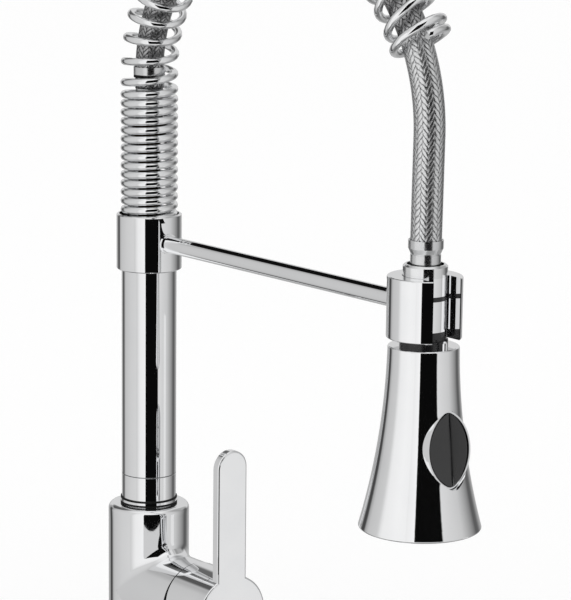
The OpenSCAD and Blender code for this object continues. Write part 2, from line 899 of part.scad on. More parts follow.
module collar_screw() {
    color("dimgray") translate([0, 0, collar_screw_z]) rotate([-90, 0, 0])
        rod(collar_screw_r, riser_r + fit_gap, collar_r - collar_edge);
}

module arm_ring() {
    color("silver") translate([0, 0, arm_z]) rotate([90, 0, 0])
        ring(arm_r + arm_ring_t, arm_r + fit_gap, collar_r - arm_ring_back, collar_r + arm_ring_front);
}

module arm_rod() {
    color("silver") translate([0, 0, arm_z]) rotate([90, 0, 0])
        rod(arm_r, collar_r - arm_socket_l + fit_gap, reach - clip_r + arm_socket_l - fit_gap);
}

module docking_clip() {
    color("silver") difference() {
        at_spray() rotate_extrude() polygon(concat(
            [[0, clip_bottom]],
            arc(clip_r - clip_edge_r, clip_bottom + clip_edge_r, clip_edge_r, -90, 0),
            arc(clip_r - clip_edge_r, collar_top - clip_edge_r, clip_edge_r, 0, 90),
            [[0, collar_top]]
        ));
        at_spray() rod(clip_bore_r, clip_bottom - cut_over, collar_top + cut_over);
        at_spray() translate([-clip_slot / 2, -clip_d, clip_bottom - cut_over])
            cube([clip_slot, clip_d, collar_h + 2 * cut_over]);
        translate([0, 0, arm_z]) rotate([90, 0, 0])
            rod(arm_r + fit_gap, reach - clip_r - cut_over, reach - clip_r + arm_socket_l);
    }
}

// Hose, its ferrules and the spring

module ferrule(seat, low) {
    shoulder = seat - flare_floor;
    waist_r = ferrule_r - flare_groove_t;
    inner_r = hose_r + soft_gap;
    rim_r = inner_r + flare_wall;
    top = seat + flare_rim_h;
    color("silver") rotate_extrude() polygon([
        [ferrule_bore_r, low], [ferrule_r, low], [ferrule_r, shoulder - flare_groove_h],
        [waist_r, shoulder - flare_groove_h], [waist_r, shoulder], [ferrule_r, shoulder],
        [rim_r, seat], [rim_r, top], [inner_r, top], [inner_r, seat],
        [ferrule_bore_r, seat]
    ]);
}

module hose_nut() {
    color("goldenrod") difference() {
        hex(hose_nut_af, pipe_top - hose_nut_h, pipe_top);
        rod(pipe_r + fit_gap, pipe_top - hose_nut_h - cut_over, pipe_top + cut_over);
    }
}

module riser_ferrule() {
    ferrule(hose_start, pipe_top);
}

module hose_arch() {
    color("darkgray") skin([
        for (i = [0:hose_rings])
            route_ring(arch_start_s + (arch_end_s - arch_start_s) * i / hose_rings, hose_r, hose_sides)
    ]);
}

module hose_drop() {
    straight = drop_top - spray_hose_z;
    color("darkgray") skin([
        for (f = [0, 0.5, 1]) [
            for (i = [0:hose_sides - 1]) let (a = 360 * (i + 0.5) / hose_sides)
                [hose_r * cos(a), -reach - hose_bow * (1 - f) - hose_r * sin(a), drop_top - straight * f]
        ]
    ]);
}

module spring() {
    color("silver") skin([for (i = [0:wire_last]) wire_ring(i)]);
}

// Spray head

module spray_ferrule() {
    at_spray() ferrule(spray_hose_z, collar_top - washer_h - washer_h);
}

module hose_washer() {
    color("#222222") at_spray()
        ring(ferrule_r - flare_groove_t, ferrule_bore_r, collar_top - 3 * washer_h, collar_top - 2 * washer_h);
}

module neck_cap() {
    top = collar_top + neck_cap_h;
    color("silver") at_spray() difference() {
        rotate_extrude() polygon([
            [0, collar_top], [neck_r, collar_top], [neck_r, top - neck_chamfer],
            [neck_r - neck_chamfer, top], [0, top]
        ]);
        rod(neck_mouth_r, collar_top + neck_chamfer, top + cut_over);
        rod(neck_bore_r, collar_top - cut_over, top);
    }
}

module neck_sleeve() {
    color("silver") at_spray() difference() {
        ring(neck_r, neck_bore_r, collar_top - neck_low, collar_top);
        ring(neck_r + cut_over, neck_r - band_t, collar_top - band_top - band_h, collar_top - band_top);
    }
}

module neck_band() {
    color("black") at_spray()
        ring(neck_r, neck_r - band_t + fit_gap, collar_top - band_top - band_h + fit_gap, collar_top - band_top - fit_gap);
}

module neck_collar() {
    step_z = clip_bottom - neck_step;
    color("black") at_spray() {
        ring(neck_collar_r, neck_bore_r, bell_top, step_z);
        ring(neck_r, neck_bore_r, bell_top, collar_top - neck_low);
    }
}

module key_nub() {
    color("silver") at_spray() translate([0, -nub_y, 0]) {
        rod(nub_r, bell_top - nub_sink, bell_top + nub_h - nub_r);
        translate([0, 0, bell_top + nub_h - nub_r]) sphere(r = nub_r);
    }
}

// Flare of the bell: an arc that stands upright a little above its top
flare_step = bell_mouth_r - bell_top_r;
flare_drop = bell_h + bell_lead;
flare_r = (flare_drop * flare_drop + flare_step * flare_step) / (2 * flare_step);
function bell_radius(drop) =
    bell_top_r + flare_r - sqrt(flare_r * flare_r - (drop + bell_lead) * (drop + bell_lead));

module bell_outline(inset, low, high) {
    steps = 20;
    polygon(concat(
        [[0, low]],
        [for (i = [0:steps]) let (z = low + (high - low) * i / steps)
            [bell_radius(bell_top - z) - inset, z]],
        [[0, high]]
    ));
}

module bell_solid() {
    lip_z = bell_mouth + bell_lip_r;
    edge_z = bell_top - bell_edge_r;
    rotate_extrude() union() {
        bell_outline(0, lip_z, edge_z);
        polygon(concat(
            [[0, bell_mouth]],
            arc(bell_radius(bell_top - lip_z) - bell_lip_r, lip_z, bell_lip_r, -90, 0),
            [[0, lip_z]]
        ));
        polygon(concat(
            [[0, edge_z]],
            arc(bell_radius(bell_top - edge_z) - bell_edge_r, edge_z, bell_edge_r, 0, 90),
            [[0, bell_top]]
        ));
    }
}

// Oval of two wide arcs with rounded tips, grown by a margin on all sides
module lens(margin = 0) {
    half_w = button_w / 2;
    tip = button_h / 2 - button_tip_r;
    r = (tip * tip + half_w * half_w - button_tip_r * button_tip_r) / (button_w - 2 * button_tip_r);
    lean = atan2(tip, r - half_w);
    polygon(concat(
        arc(half_w - r, 0, r + margin, -lean, lean, lens_sides),
        arc(0, tip, button_tip_r + margin, lean, 180 - lean, lens_tip_sides),
        arc(r - half_w, 0, r + margin, 180 - lean, 180 + lean, lens_sides),
        arc(0, -tip, button_tip_r + margin, 180 + lean, 360 - lean, lens_tip_sides)
    ));
}

// Places children at the button: local +Z runs forward from the spray axis
module at_button() {
    at_spray() translate([0, 0, bell_top - button_drop]) rotate([90, 0, 0]) children();
}

face_low = bell_mouth + face_sink;
mat_low = face_low + face_t;
flange_low = mat_low + mat_t;
ledge_low = flange_low + core_flange_t;
face_r = bell_radius(bell_top - mat_low) - bell_wall - soft_gap;
mat_r = bell_radius(bell_top - flange_low) - bell_wall - soft_gap;
flange_r = bell_radius(bell_top - ledge_low) - bell_wall - soft_gap;

module spray_shell() {
    ceiling = bell_top - bell_wall;
    color("silver") difference() {
        at_spray() difference() {
            bell_solid();
            rotate_extrude() union() {
                bell_outline(bell_wall, ledge_low + ledge_t, ceiling);
                bell_outline(bell_wall + ledge_w, ledge_low - cut_over, ledge_low + ledge_t + cut_over);
                bell_outline(bell_wall, bell_mouth + bell_lip_r, ledge_low);
                translate([0, bell_mouth - cut_over])
                    square([bell_radius(bell_h) - bell_wall, bell_lip_r + 2 * cut_over]);
            }
            rod(core_hole_r, ceiling - cut_over, bell_top + cut_over);
            translate([0, -nub_y, 0]) rod(nub_r + fit_gap, bell_top - nub_sink, bell_top + cut_over);
        }
        at_button() linear_extrude(reach) lens(bezel_w + button_gap + fit_gap);
    }
}

// Places children in the leaning face of the button: local +Z is square to that face
module on_button_face(drop = 0) {
    translate([0, 0, button_reach - drop]) rotate([-button_slant, 0, 0]) children();
}

module trigger_bezel() {
    color("silver") at_button() difference() {
        translate([0, 0, bezel_back]) linear_extrude(button_reach) difference() {
            lens(bezel_w + button_gap);
            lens(button_gap);
        }
        on_button_face(bezel_reach_drop) translate([-button_w, -button_h, 0])
            cube([2 * button_w, 2 * button_h, 2 * button_reach]);
    }
}

module spray_core() {
    spigot_top = collar_top - 3 * washer_h;
    color("dimgray") at_spray() difference() {
        union() {
            rod(core_r, bell_top - bell_wall, spigot_top);
            rod(core_spigot_r, bell_top - bell_wall, bell_top);
            rod(core_body_r, ledge_low - cut_over, bell_top - bell_wall);
            rod(flange_r, flange_low, ledge_low);
        }
        rod(ferrule_bore_r, flange_low - cut_over, spigot_top + cut_over);
        translate([0, 0, bell_top - button_drop]) rotate([90, 0, 0])
            cylinder(r = plunger_r + fit_gap, h = reach);
    }
}

// Places copies of the children on the two nozzle rings
module on_nozzles() {
    for (i = [0:outer_nozzles - 1]) rotate(360 * i / outer_nozzles)
        translate([face_r * outer_ring_share, 0, 0]) children();
    for (i = [0:inner_nozzles - 1]) rotate(360 * (i + 0.5) / inner_nozzles)
        translate([face_r * inner_ring_share, 0, 0]) children();
}

module nozzle_mat() {
    color("gray") at_spray() difference() {
        union() {
            ring(mat_r, aerator_d / 2 + fit_gap, mat_low, flange_low);
            on_nozzles() translate([0, 0, face_low - nozzle_tip]) cylinder(r1 = nozzle_r * inner_ring_share,
                r2 = nozzle_r, h = face_t + nozzle_tip + mat_t / 2);
        }
        on_nozzles() rod(nozzle_bore_r, face_low - nozzle_tip - cut_over, flange_low + cut_over);
    }
}

module spray_face() {
    color("#333333") at_spray() difference() {
        ring(face_r, aerator_d / 2 + fit_gap, face_low, mat_low);
        on_nozzles() rod(nozzle_r + fit_gap, face_low - cut_over, mat_low + cut_over);
    }
}

module aerator() {
    top = flange_low;
    color("gainsboro") at_spray() difference() {
        rod(aerator_d / 2, face_low, top);
        rod(aerator_d / 2 - mesh_t, face_low + mesh_t, top + cut_over);
        for (x = [-2:2]) for (y = [-2:2]) if (abs(x + y) <= 2)
            translate([mesh_pitch * (x + y / 2), mesh_pitch * y * cos(30), 0])
                rod(mesh_hole_r, face_low - cut_over, face_low + 2 * mesh_t);
    }
}

// Spray button: pointed oval with two faces that meet in a ridge

module trigger_button() {
    back = button_reach - button_t;
    color("#1c1c1c") at_button() union() {
        intersection() {
            translate([0, 0, back]) linear_extrude(button_reach) lens();
            on_button_face() rotate([90, 0, 0]) translate([0, 0, -button_h]) linear_extrude(2 * button_h)
                polygon([
                    [-button_w, -2 * button_t], [button_w, -2 * button_t], [button_w, -button_crown],
                    [0, button_crown], [-button_w, -button_crown]
                ]);
        }
        rod(plunger_r, back - plunger_l, back + cut_over);
    }
}

faucet_body();
base_ring();
base_gasket();
mounting_stud();
deck_washer();
deck_plate();
mounting_nut();
riser_screw();
cartridge_seal();
cartridge_housing();
cartridge_nut();
dome_cover();
cartridge_carrier();
carrier_pin();
cartridge_stem();
handle();
handle_screw();
handle_plug();
riser_spigot();
lower_o_ring();
upper_o_ring();
slip_ring();
swivel_ring();
sleeve_seal();
riser_sleeve();
riser_tube();
water_pipe();
collar();
collar_screw();
arm_ring();
arm_rod();
docking_clip();
hose_nut();
riser_ferrule();
hose_arch();
hose_drop();
spring();
spray_ferrule();
hose_washer();
neck_cap();
neck_sleeve();
neck_band();
neck_collar();
key_nub();
spray_shell();
trigger_bezel();
spray_core();
nozzle_mat();
spray_face();
aerator();
trigger_button();
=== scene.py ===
"""Looks of a kitchen mixer: materials, hose, spring, plating, button, seals, rings of painted shade
and studio.
"""
import json
import math

import bmesh
import bpy
from mathutils import Matrix, Vector


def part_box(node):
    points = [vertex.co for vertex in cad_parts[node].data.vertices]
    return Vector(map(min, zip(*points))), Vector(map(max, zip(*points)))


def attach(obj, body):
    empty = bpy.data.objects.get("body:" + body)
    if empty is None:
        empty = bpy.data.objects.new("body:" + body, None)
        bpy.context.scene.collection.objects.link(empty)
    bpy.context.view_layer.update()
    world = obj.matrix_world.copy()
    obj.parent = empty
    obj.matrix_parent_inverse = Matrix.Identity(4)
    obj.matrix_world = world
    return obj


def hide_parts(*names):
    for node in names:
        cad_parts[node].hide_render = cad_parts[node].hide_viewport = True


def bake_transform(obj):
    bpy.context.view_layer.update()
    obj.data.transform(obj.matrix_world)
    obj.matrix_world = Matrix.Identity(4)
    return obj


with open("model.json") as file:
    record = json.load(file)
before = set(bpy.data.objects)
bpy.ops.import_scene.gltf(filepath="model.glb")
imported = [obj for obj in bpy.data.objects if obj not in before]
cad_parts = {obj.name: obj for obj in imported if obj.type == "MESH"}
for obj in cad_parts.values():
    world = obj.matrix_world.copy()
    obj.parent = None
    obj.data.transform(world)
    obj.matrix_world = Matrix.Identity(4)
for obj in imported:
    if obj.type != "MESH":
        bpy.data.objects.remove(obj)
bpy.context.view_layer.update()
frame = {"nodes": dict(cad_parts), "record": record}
nodes = frame["nodes"]
scene = bpy.context.scene

MM = 0.001


# ---------------------------------------------------------------- camera
CAMERA_PLACE = (-0.8131, -1.1062, 0.5184)
CAMERA_AIM = (0.6223, 0.7577, -0.1965)
CAMERA_ROLL_DEG = 0.666
LENS_MM = 155.16
SENSOR_MM = 36.0
CLIP_NEAR = 0.05
CLIP_FAR = 50.0


def make_camera():
    data = bpy.data.cameras.new("camera")
    data.lens = LENS_MM
    data.sensor_width = SENSOR_MM
    data.clip_start = CLIP_NEAR
    data.clip_end = CLIP_FAR
    cam = bpy.data.objects.new("camera", data)
    scene.collection.objects.link(cam)
    cam.location = CAMERA_PLACE
    turn = Vector(CAMERA_AIM).normalized().to_track_quat("-Z", "Y").to_matrix()
    roll = Matrix.Rotation(math.radians(CAMERA_ROLL_DEG), 3, "Z")
    cam.rotation_euler = (turn @ roll).to_euler()
    scene.camera = cam


make_camera()


# ---------------------------------------------------------------- nodes of materials and world
# Sockets of a Mix node by its data type: factor, first value, second value and result
MIX_SOCKETS = {"FLOAT": (0, 2, 3, 0), "RGBA": (0, 6, 7, 2)}
COAT_ROUGHNESS = 0.15


def new_material(name):
    mat = bpy.data.materials.new(name)
    mat.use_nodes = True
    tree = mat.node_tree
    return mat, tree, tree.nodes["Principled BSDF"]


def set_or_link(tree, socket, value):
    """Set the socket to a number, or link it to the output of another node."""
    if isinstance(value, (int, float)):
        socket.default_value = value
    else:
        tree.links.new(value, socket)


def calculator(tree):
    """Function that adds a math node to the tree and gives its output."""
    def math_node(kind, *values):
        node = tree.nodes.new("ShaderNodeMath")
        node.operation = kind
        for socket, value in zip(node.inputs, values):
            set_or_link(tree, socket, value)
        return node.outputs[0]
    return math_node


def mixed(tree, kind, factor, first, second):
    """Mix of first and second, of the kind FLOAT or RGBA."""
    node = tree.nodes.new("ShaderNodeMix")
    node.data_type = kind
    *inputs, result = MIX_SOCKETS[kind]
    for index, value in zip(inputs, (factor, first, second)):
        set_or_link(tree, node.inputs[index], value)
    return node.outputs[result]


def noise(tree, scale, detail, coord="Object", stretch=None):
    """Noise on the coordinates named, scaled axis by axis where stretch is given."""
    place = tree.nodes.new("ShaderNodeTexCoord").outputs[coord]
    tex = tree.nodes.new("ShaderNodeTexNoise")
    tex.inputs["Scale"].default_value = scale
    tex.inputs["Detail"].default_value = detail
    if stretch:
        mapping = tree.nodes.new("ShaderNodeMapping")
        mapping.inputs["Scale"].default_value = stretch
        tree.links.new(place, mapping.inputs["Vector"])
        place = mapping.outputs["Vector"]
    tree.links.new(place, tex.inputs["Vector"])
    return tex.outputs["Fac"]


def ranged(tree, source, low, high, from_low=0.3, from_high=0.7):
    """Source spread over low to high; the limits it comes from are those of noise by default."""
    node = tree.nodes.new("ShaderNodeMapRange")
    node.inputs["From Min"].default_value = from_low
    node.inputs["From Max"].default_value = from_high
    node.inputs["To Min"].default_value = low
    node.inputs["To Max"].default_value = high
    tree.links.new(source, node.inputs["Value"])
    return node.outputs["Result"]


def bump(tree, bsdf, height, distance, strength):
    node = tree.nodes.new("ShaderNodeBump")
    node.inputs["Strength"].default_value = strength
    node.inputs["Distance"].default_value = distance
    tree.links.new(height, node.inputs["Height"])
    tree.links.new(node.outputs["Normal"], bsdf.inputs["Normal"])


def two_tone(tree, source, first, second, low=0.35, high=0.65):
    """Colour that runs from first to second while source runs from low to high."""
    ramp = tree.nodes.new("ShaderNodeValToRGB")
    for element, place, colour in zip(ramp.color_ramp.elements, (low, high), (first, second)):
        element.position = place
        element.color = (*colour, 1)
    tree.links.new(source, ramp.inputs["Fac"])
    return ramp.outputs["Color"]


def grey_ramp(tree, source, stops):
    """Greys from stops of place and brightness, the places from 0 to 1."""
    ramp = tree.nodes.new("ShaderNodeValToRGB")
    tree.links.new(source, ramp.inputs["Fac"])
    elements = ramp.color_ramp.elements
    elements.remove(elements[-1])
    for i, (place, value) in enumerate(stops):
        element = elements[0] if i == 0 else elements.new(place)
        element.position = place
        element.color = (value, value, value, 1)
    return ramp.outputs["Color"]


# ---------------------------------------------------------------- materials
def metal(name, first, second, rough, wave=0.0, grain=600.0, stretch=None):
    """Metal clouded between two tones, its roughness and waves (in metres) from a fine grain."""
    mat, tree, bsdf = new_material(name)
    bsdf.inputs["Metallic"].default_value = 1.0
    cloud = noise(tree, scale=55.0, detail=3.0)
    tree.links.new(two_tone(tree, cloud, first, second), bsdf.inputs["Base Color"])
    fine = noise(tree, scale=grain, detail=2.0, stretch=stretch)
    tree.links.new(ranged(tree, fine, *rough), bsdf.inputs["Roughness"])
    if wave:
        bump(tree, bsdf, fine, wave, strength=0.5)
    return mat


def plastic(name, first, second, rough, grain=900.0, height=2e-5, coat=0.0):
    """Plastic or rubber clouded between two tones, with a fine grain of a height in metres."""
    mat, tree, bsdf = new_material(name)
    cloud = noise(tree, scale=90.0, detail=4.0)
    tree.links.new(two_tone(tree, cloud, first, second), bsdf.inputs["Base Color"])
    fine = noise(tree, scale=grain, detail=3.0)
    tree.links.new(ranged(tree, fine, *rough), bsdf.inputs["Roughness"])
    bsdf.inputs["Coat Weight"].default_value = coat
    bsdf.inputs["Coat Roughness"].default_value = COAT_ROUGHNESS
    bump(tree, bsdf, fine, height, strength=0.4)
    return mat


def set_shader(mat, socket, value):
    mat.node_tree.nodes["Principled BSDF"].inputs[socket].default_value = value


chrome = metal("chrome", (0.93, 0.935, 0.945), (0.955, 0.958, 0.965), rough=(0.02, 0.045))
spring_steel = metal("spring_chrome", (0.9, 0.905, 0.915), (0.94, 0.945, 0.95), rough=(0.05, 0.1))
steel = metal("steel", (0.5, 0.5, 0.51), (0.6, 0.6, 0.61), rough=(0.28, 0.42),
              wave=1e-5, grain=900.0, stretch=(1, 1, 14))
brass = metal("brass", (0.62, 0.42, 0.16), (0.76, 0.54, 0.24), rough=(0.2, 0.36),
              wave=1e-5, grain=700.0, stretch=(1, 1, 10))
black_plastic = plastic("black_plastic", (0.006, 0.006, 0.007), (0.011, 0.011, 0.012),
                        rough=(0.22, 0.34), coat=0.15)
button_black = plastic("button_black", (0.0025, 0.0025, 0.003), (0.005, 0.005, 0.0055),
                       rough=(0.14, 0.22), grain=1400.0, height=4e-6)
set_shader(button_black, "IOR", 1.72)
rubber = plastic("rubber", (0.010, 0.010, 0.010), (0.022, 0.022, 0.022),
                 rough=(0.55, 0.75), grain=500.0, height=4e-5)
# Black of the seals, and of the rings of painted shade in the joints' gaps
seal_and_shade = plastic("seal_and_shade_black", (0.003, 0.003, 0.003), (0.006, 0.006, 0.006),
               rough=(0.5, 0.65), grain=500.0)
set_shader(seal_and_shade, "Specular IOR Level", 0.2)
satin = metal("satin_nickel", (0.72, 0.725, 0.73), (0.8, 0.805, 0.81), rough=(0.16, 0.24),
              wave=2e-6, grain=500.0)
dark_steel = metal("dark_steel", (0.22, 0.225, 0.23), (0.3, 0.305, 0.31), rough=(0.2, 0.3),
                   wave=1e-6, grain=500.0)
cap_chrome = metal("cap_chrome", (0.84, 0.845, 0.85), (0.9, 0.905, 0.91), rough=(0.08, 0.14),
                   wave=1e-6, grain=500.0)
dull_brass = metal("dull_brass", (0.03, 0.025, 0.018), (0.06, 0.05, 0.034), rough=(0.4, 0.55),
                   wave=1e-5, grain=700.0)
grey_plastic = plastic("grey_plastic", (0.16, 0.165, 0.17), (0.21, 0.215, 0.22),
                       rough=(0.35, 0.5))
white_plastic = plastic("white_plastic", (0.72, 0.72, 0.7), (0.8, 0.8, 0.78),
                        rough=(0.25, 0.4), coat=0.2)

# Length of hose, from the collar, that the spring covers, where the braid's colour is painted
# darker as the spring's shade
SPRING_REACH = 0.357


def braid_material():
    """Steel braid: bands of wires that cross over and under, along the hose's turn and length, with
    painted shade in its colour.
    """
    bands = 8.0                     # bands round the hose
    wires = 335.0                   # wires of one band in a metre of hose
    climb = 2.2                     # how steeply a wire crosses its band
    wander = 0.5                    # how far the wires stray, in wires
    half = 0.5                      # half a band, and half a wire
    groove_power, groove_depth = 4.5, 0.75
    dot_along, dot_across = 1.5, 2.0
    mat, tree, bsdf = new_material("steel_braid")
    links = tree.links
    calc = calculator(tree)

    uv = tree.nodes.new("ShaderNodeUVMap")
    uv.uv_map = "braid"
    split = tree.nodes.new("ShaderNodeSeparateXYZ")
    links.new(uv.outputs["UV"], split.inputs[0])
    turn, length = split.outputs["X"], split.outputs["Y"]
    stray = noise(tree, scale=60.0, detail=2.0, coord="UV", stretch=(0.3, 1.0, 1.0))
    in_bands = calc("MULTIPLY", turn, bands)
    in_wires = calc("ADD", calc("MULTIPLY", length, wires), calc("MULTIPLY", stray, wander))
    column = calc("PINGPONG", in_bands, half)
    other_way = calc("GREATER_THAN", calc("FRACT", in_bands), half)
    offset = calc("ADD", in_wires, calc("MULTIPLY", other_way, half))
    slope = calc("ADD", offset, calc("MULTIPLY", column, climb))
    off_wire = calc("MULTIPLY", calc("PINGPONG", slope, half), 1 / half)
    edge = calc("PINGPONG", in_bands, half / 2)
    off_band = calc("SUBTRACT", 1.0, calc("MULTIPLY", edge, 2 / half))
    # Painted shade: the colour darkens into the grooves between the wires and into dots at the
    # bands' edges, and each wire is lightest along its middle; the same heights drive the bump and
    # the roughness.
    groove = calc("POWER", off_wire, groove_power)
    dot = calc("MULTIPLY", calc("POWER", off_wire, dot_along), calc("POWER", off_band, dot_across))
    hollow = calc("MAXIMUM", calc("MULTIPLY", groove, groove_depth), dot)
    height = calc("SUBTRACT", 1.0, hollow)
    fleck = noise(tree, scale=900.0, detail=2.0, coord="UV", stretch=(0.05, 1.0, 1.0))
    spark = ranged(tree, fleck, -0.22, 0.18, from_low=0.35, from_high=0.65)
    shade = calc("ADD", height, spark)
    unshaded_tone = two_tone(tree, shade, (0.03, 0.03, 0.032), (0.82, 0.825, 0.83), low=0.16, high=0.96)
    # Painted shade: a darker copy of the braid's tones over the length that the spring covers.
    spring_shaded_tone = two_tone(tree, shade, (0.008, 0.008, 0.008), (0.5, 0.5, 0.505), low=0.36, high=1.1)
    under_spring = calc("LESS_THAN", length, SPRING_REACH)
    links.new(mixed(tree, "RGBA", under_spring, unshaded_tone, spring_shaded_tone), bsdf.inputs["Base Color"])
    bsdf.inputs["Metallic"].default_value = 1.0
    rough = ranged(tree, height, 0.45, 0.27, from_low=0.0, from_high=1.0)
    links.new(rough, bsdf.inputs["Roughness"])
    bump(tree, bsdf, height, distance=0.5 * MM, strength=0.45)
    return mat


braid = braid_material()

BY_SLOT = {
    "chrome": chrome,
    "black_rubber": rubber,
    "black_plastic": black_plastic,
    "steel": steel,
    "brass": brass,
    "white_plastic": white_plastic,
    "grey_plastic": grey_plastic,
    "braid": braid,
}
BY_NODE = {
    "trigger_button": button_black,
    "riser_ferrule": satin,
    "spray_ferrule": satin,
    "neck_cap": cap_chrome,
    "water_pipe": dull_brass,
    "hose_nut": dull_brass,
}

slots = {s["node"]: s["material_slot"] for s in frame["record"]["subparts"]}
for node_name, node_obj in nodes.items():
    node_obj.data.materials.clear()
    node_obj.data.materials.append(BY_NODE.get(node_name, BY_SLOT[slots[node_name]]))


# ---------------------------------------------------------------- making of meshes
def add_object(name, mesh, mat):
    obj = bpy.data.objects.new(name, mesh)
    scene.collection.objects.link(obj)
    mesh.materials.append(mat)
    return obj


def built(name, bm, mat, sharp_deg=None):
    """Object of what bm holds, its edges sharp from an angle in degrees."""
    mesh = bpy.data.meshes.new(name)
    bm.to_mesh(mesh)
    bm.free()
    if sharp_deg:
        mesh.set_sharp_from_angle(angle=math.radians(sharp_deg))
    return add_object(name, mesh, mat)


def flat(name, corners, mat):
    """Object of one face with four corners."""
    mesh = bpy.data.meshes.new(name)
    mesh.from_pydata(corners, [], [(0, 1, 2, 3)])
    return add_object(name, mesh, mat)


def bridge(bm, first, second, smooth=False):
    """Band of faces between two closed loops of vertices, one for one."""
    for k in range(len(first)):
        n = (k + 1) % len(first)
        bm.faces.new((first[k], second[k], second[n], first[n])).smooth = smooth


def circle(centre, radius, u, v, sides):
    """Points of a circle round centre, in the plane of u and v."""
    return [centre + radius * (math.cos(t) * u + math.sin(t) * v)
            for t in (2 * math.pi * j / sides for j in range(sides))]


def tube(name, rings, mat, lengths=None):
    """Closed tube over rings of points, with a UV map of turn and length if there are lengths."""
    sides = len(rings[0])
    bm = bmesh.new()
    loops = [[bm.verts.new(p) for p in ring] for ring in rings]
    layer = bm.loops.layers.uv.new("braid") if lengths else None
    for k in range(len(loops) - 1):
        for i in range(sides):
            j = (i + 1) % sides
            face = bm.faces.new((loops[k][i], loops[k][j], loops[k + 1][j], loops[k + 1][i]))
            face.smooth = True
            if layer:
                turns = (i / sides, (i + 1) / sides, (i + 1) / sides, i / sides)
                along = (lengths[k], lengths[k], lengths[k + 1], lengths[k + 1])
                for loop, u, v in zip(face.loops, turns, along):
                    loop[layer].uv = (u, v)
    bm.faces.new(list(reversed(loops[0])))
    bm.faces.new(loops[-1])
    bm.normal_update()
    return built(name, bm, mat)


# ---------------------------------------------------------------- hose
QUARTER_STEPS = 60
HOSE_RINGS = 260
HOSE_SIDES = 48

collar_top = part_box("collar")[1].z
hose_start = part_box("hose_arch")[0].z
hose_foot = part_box("hose_drop")[0].z
hose_r = 7.5 * MM
spray_axis = -0.220
seat_z = collar_top - 4.2 * MM      # seat in the collar, where the route and the spring begin
bend_z = collar_top + 74.8 * MM     # where the rising hose begins to bend
drop_top = collar_top + 67.4 * MM   # where the falling hose is straight again
crown_z = collar_top + 167.4 * MM   # the route's highest point
across = Vector((1, 0, 0))


class Route:
    """Centre line of the hose: up, over two quarter ellipses, and down to the spray.

    A point holds its Y, its Z and the angle of the normal that points out of the arch.
    """

    def __init__(self):
        bow = 0.8 * MM
        half = (-spray_axis + bow) / 2
        quarter = [math.radians(90 * i / QUARTER_STEPS) for i in range(QUARTER_STEPS + 1)]
        rise, fall = crown_z - bend_z, crown_z - drop_top
        self.points = [(0.0, seat_z, 0.0)]
        for a in quarter:
            self.points.append((-half * (1 - math.cos(a)), bend_z + rise * math.sin(a),
                                math.atan2(half * math.sin(a), rise * math.cos(a))))
        for a in quarter[1:]:
            self.points.append((-half * (1 + math.sin(a)), drop_top + fall * math.cos(a),
                                math.atan2(half * math.cos(a), -fall * math.sin(a))))
        self.points.append((spray_axis, hose_foot, math.pi))
        self.lengths = [0.0]
        for p, q in zip(self.points, self.points[1:]):
            self.lengths.append(self.lengths[-1] + math.hypot(q[0] - p[0], q[1] - p[1]))

    def at(self, length):
        """Centre and outward normal at a length along the route."""
        k = 0
        while k < len(self.lengths) - 2 and self.lengths[k + 1] < length:
            k += 1
        f = (length - self.lengths[k]) / (self.lengths[k + 1] - self.lengths[k])
        y, z, a = (p + (q - p) * f for p, q in zip(self.points[k], self.points[k + 1]))
        return Vector((0, y, z)), Vector((0, math.cos(a), math.sin(a)))


route = Route()


def make_hose():
    """Braided hose from inside the riser's ferrule to the spray's."""
    first = hose_start - seat_z
    last = route.lengths[-1]
    rings, lengths = [], []
    for i in range(HOSE_RINGS + 1):
        length = first + (last - first) * i / HOSE_RINGS
        centre, normal = route.at(length)
        rings.append(circle(centre, hose_r, across, normal, HOSE_SIDES))
        lengths.append(length)
    hose = tube("braided_hose", rings, braid, lengths)
    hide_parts("hose_arch", "hose_drop")
    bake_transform(hose)


make_hose()


